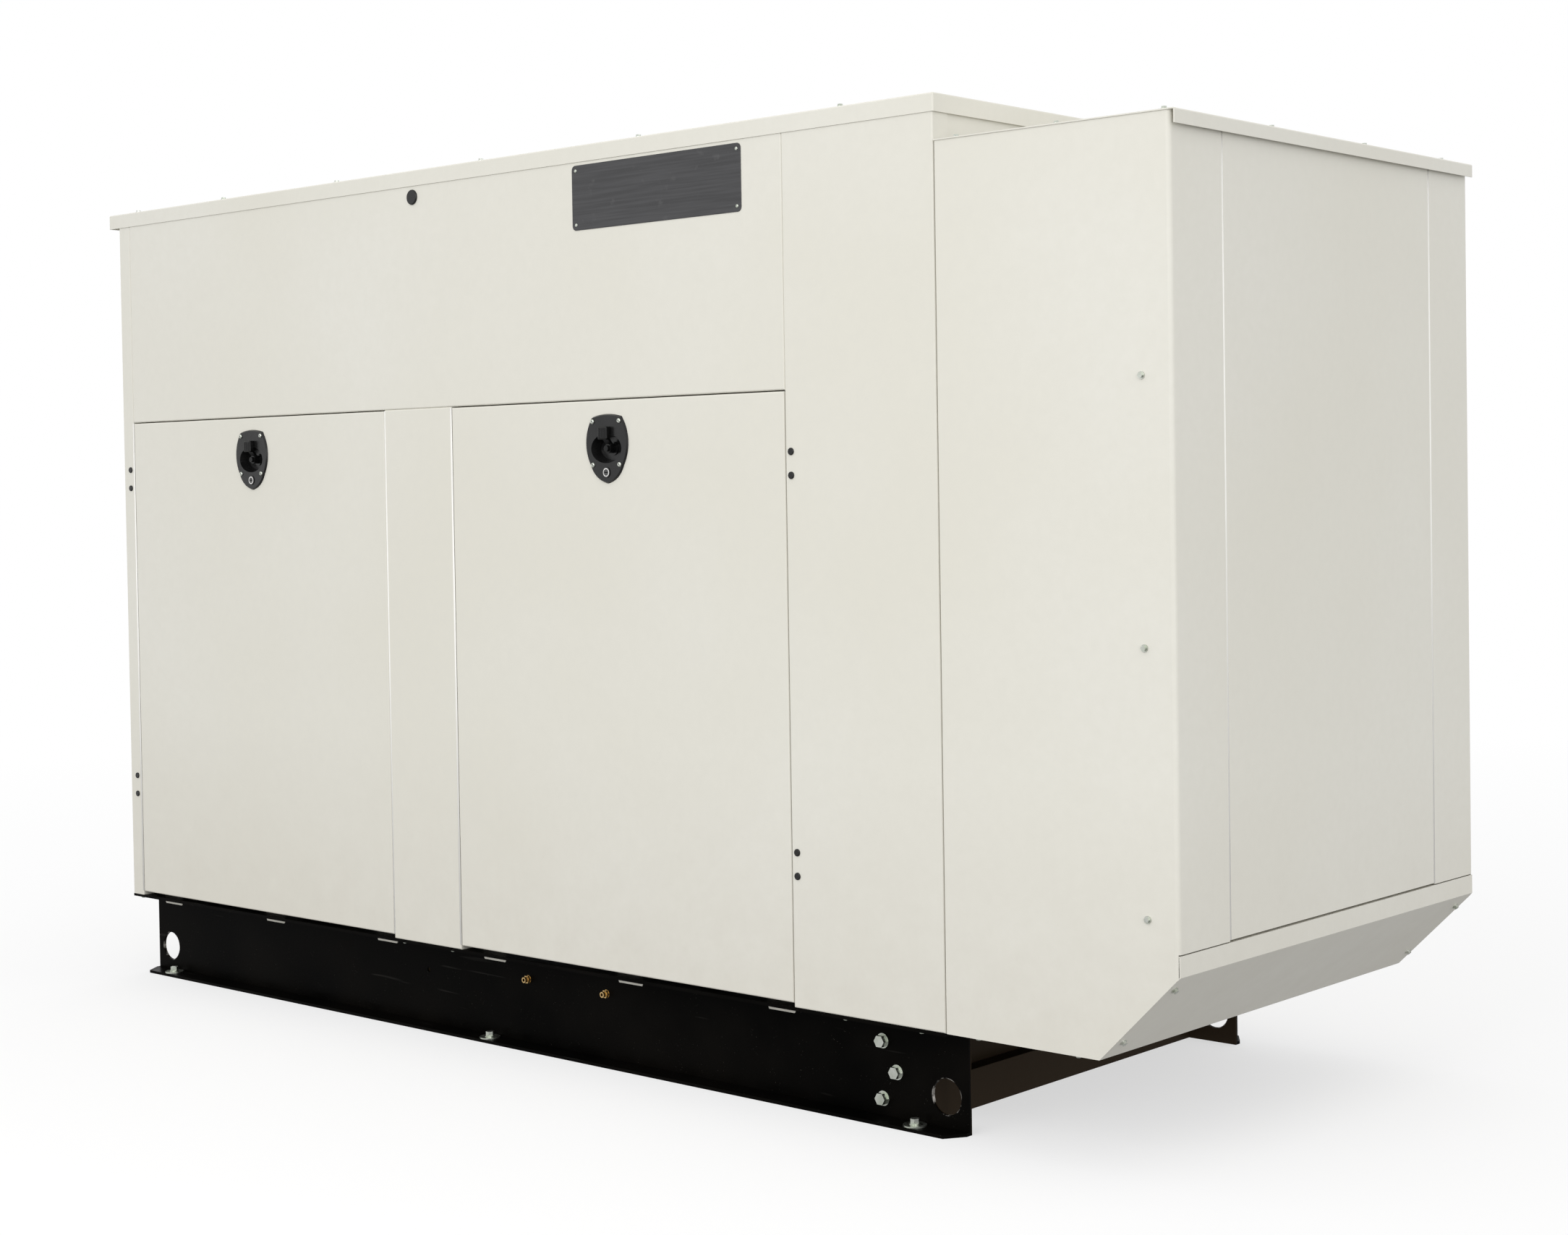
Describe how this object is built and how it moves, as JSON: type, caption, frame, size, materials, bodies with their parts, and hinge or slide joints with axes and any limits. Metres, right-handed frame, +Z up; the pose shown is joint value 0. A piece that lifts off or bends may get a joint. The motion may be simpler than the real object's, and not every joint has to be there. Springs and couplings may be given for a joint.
{
  "type": "home standby generator",
  "caption": "Standby generator in a tall off-white sheet-metal enclosure on a black channel skid, with lift-out service doors, a louvred intake end and a stepped discharge hood.",
  "frame": {"origin": "middle of the overall footprint, on the floor", "axes": "+X along the skid towards the discharge hood, -Y out of the front, +Z up"},
  "size_m": [2.86, 0.994, 1.7265],
  "materials": {
    "panel_paint": "satin powder coat, warm off-white",
    "skid_paint": "semi-gloss black",
    "zinc": "bright zinc plate",
    "brass": "machined brass",
    "black_plastic": "semi-gloss moulded black",
    "latch_handle": "semi-gloss moulded black",
    "lock_metal": "bright",
    "engine_iron": "grey painted casting",
    "engine_alloy": "cast, satin",
    "pressed_black": "satin black",
    "rotor_steel": "machined",
    "rubber": "matt",
    "hot_steel": "aluminised, heat tinted",
    "radiator_alloy": "satin",
    "fan_plastic": "matt",
    "battery_case": "matt",
    "control_paint": "satin grey",
    "stop_red": "gloss red",
    "control_black": "matt"
  },
  "bodies": {
    "enclosure": {"alternator_housing": "engine_iron", "anchor_bolts": "zinc", "base_rail_front": "skid_paint", "base_rail_rear": "skid_paint", "battery": "battery_case", "centre_post_front": "panel_paint", "centre_post_rear": "panel_paint", "control_box": "control_paint", "coolant_hoses": "rubber", "corner_post_front": "panel_paint", "corner_post_rear": "panel_paint", "cross_member_discharge": "skid_paint", "cross_members": "skid_paint", "cylinder_head": "engine_alloy", "discharge_bulkhead": "panel_paint", "drain_fittings": "brass", "drive_belt": "rubber", "engine_block": "engine_iron", "exhaust_pipe": "hot_steel", "fan_shroud": "pressed_black", "frame_bolts": "zinc", "hole_plugs": "black_plastic", "hood_end_panel": "panel_paint", "hood_roof": "panel_paint", "hood_scoop": "panel_paint", "hood_side_front": "panel_paint", "hood_side_rear": "panel_paint", "intake_end_panel": "panel_paint", "intake_manifold": "control_black", "main_roof": "panel_paint", "muffler": "hot_steel", "oil_pan": "pressed_black", "panel_screws": "zinc", "radiator": "radiator_alloy", "side_panel_front": "panel_paint", "side_panel_rear": "panel_paint", "upper_panel_front": "panel_paint", "upper_panel_rear": "panel_paint", "vibration_mounts": "rubber"},
    "door_front_left": {"door_front_left": "panel_paint", "latch_plate_front_left": "black_plastic"},
    "latch_handle_front_left": {"latch_handle_front_left": "latch_handle"},
    "lock_cylinder_front_left": {"lock_cylinder_front_left": "lock_metal"},
    "door_front_right": {"door_front_right": "panel_paint", "latch_plate_front_right": "black_plastic"},
    "latch_handle_front_right": {"latch_handle_front_right": "latch_handle"},
    "lock_cylinder_front_right": {"lock_cylinder_front_right": "lock_metal"},
    "door_rear_left": {"door_rear_left": "panel_paint", "latch_plate_rear_left": "black_plastic"},
    "latch_handle_rear_left": {"latch_handle_rear_left": "latch_handle"},
    "lock_cylinder_rear_left": {"lock_cylinder_rear_left": "lock_metal"},
    "door_rear_right": {"door_rear_right": "panel_paint", "latch_plate_rear_right": "black_plastic"},
    "latch_handle_rear_right": {"latch_handle_rear_right": "latch_handle"},
    "lock_cylinder_rear_right": {"lock_cylinder_rear_right": "lock_metal"},
    "engine_shaft": {"crankshaft_rotor": "rotor_steel"},
    "cooling_fan": {"radiator_fan": "fan_plastic"},
    "stop_button": {"emergency_stop": "stop_red"},
    "mode_selector": {"mode_switch": "control_black"},
    "breaker_toggle": {"breaker_lever": "control_black"}
  },
  "joints": [
    {"name": "door_front_left_tilt", "type": "hinge", "parent": "enclosure", "child": "door_front_left", "pos_m": [-0.9065, -0.482, 0.191], "axis": [1, 0, 0], "range_deg": [0, 35]},
    {"name": "latch_front_left_turn", "type": "hinge", "parent": "door_front_left", "child": "latch_handle_front_left", "pos_m": [-0.9065, -0.482, 1.159], "axis": [0, -1, 0], "range_deg": [0, 90]},
    {"name": "lock_front_left_turn", "type": "hinge", "parent": "door_front_left", "child": "lock_cylinder_front_left", "pos_m": [-0.9065, -0.482, 1.115], "axis": [0, -1, 0], "range_deg": [0, 90]},
    {"name": "door_front_right_tilt", "type": "hinge", "parent": "enclosure", "child": "door_front_right", "pos_m": [0.1885, -0.482, 0.191], "axis": [1, 0, 0], "range_deg": [0, 35]},
    {"name": "latch_front_right_turn", "type": "hinge", "parent": "door_front_right", "child": "latch_handle_front_right", "pos_m": [0.1885, -0.482, 1.159], "axis": [0, -1, 0], "range_deg": [0, 90]},
    {"name": "lock_front_right_turn", "type": "hinge", "parent": "door_front_right", "child": "lock_cylinder_front_right", "pos_m": [0.1885, -0.482, 1.115], "axis": [0, -1, 0], "range_deg": [0, 90]},
    {"name": "door_rear_left_tilt", "type": "hinge", "parent": "enclosure", "child": "door_rear_left", "pos_m": [-0.9065, 0.482, 0.191], "axis": [-1, 0, 0], "range_deg": [0, 35]},
    {"name": "latch_rear_left_turn", "type": "hinge", "parent": "door_rear_left", "child": "latch_handle_rear_left", "pos_m": [-0.9065, 0.482, 1.159], "axis": [0, -1, 0], "range_deg": [0, 90]},
    {"name": "lock_rear_left_turn", "type": "hinge", "parent": "door_rear_left", "child": "lock_cylinder_rear_left", "pos_m": [-0.9065, 0.482, 1.115], "axis": [0, -1, 0], "range_deg": [0, 90]},
    {"name": "door_rear_right_tilt", "type": "hinge", "parent": "enclosure", "child": "door_rear_right", "pos_m": [0.1885, 0.482, 0.191], "axis": [-1, 0, 0], "range_deg": [0, 35]},
    {"name": "latch_rear_right_turn", "type": "hinge", "parent": "door_rear_right", "child": "latch_handle_rear_right", "pos_m": [0.1885, 0.482, 1.159], "axis": [0, -1, 0], "range_deg": [0, 90]},
    {"name": "lock_rear_right_turn", "type": "hinge", "parent": "door_rear_right", "child": "lock_cylinder_rear_right", "pos_m": [0.1885, 0.482, 1.115], "axis": [0, -1, 0], "range_deg": [0, 90]},
    {"name": "shaft_spin", "type": "hinge", "parent": "enclosure", "child": "engine_shaft", "pos_m": [0.085, 0, 0.47], "axis": [1, 0, 0], "continuous": true},
    {"name": "fan_spin", "type": "hinge", "parent": "enclosure", "child": "cooling_fan", "pos_m": [0.7, 0, 0.76], "axis": [1, 0, 0], "continuous": true},
    {"name": "stop_button_press", "type": "slide", "parent": "enclosure", "child": "stop_button", "axis": [0, 1, 0], "range_m": [0, 0.006], "stiffness_N_per_m": 400},
    {"name": "mode_selector_turn", "type": "hinge", "parent": "enclosure", "child": "mode_selector", "pos_m": [-0.875, -0.385, 1.13], "axis": [0, -1, 0], "range_deg": [-45, 45]},
    {"name": "breaker_throw", "type": "hinge", "parent": "enclosure", "child": "breaker_toggle", "pos_m": [-1.035, -0.377, 0.985], "axis": [1, 0, 0], "range_deg": [0, 70]}
  ],
  "couplings": [
    {"joint": "fan_spin", "follows": "shaft_spin", "ratio": 1.2308}
  ]
}
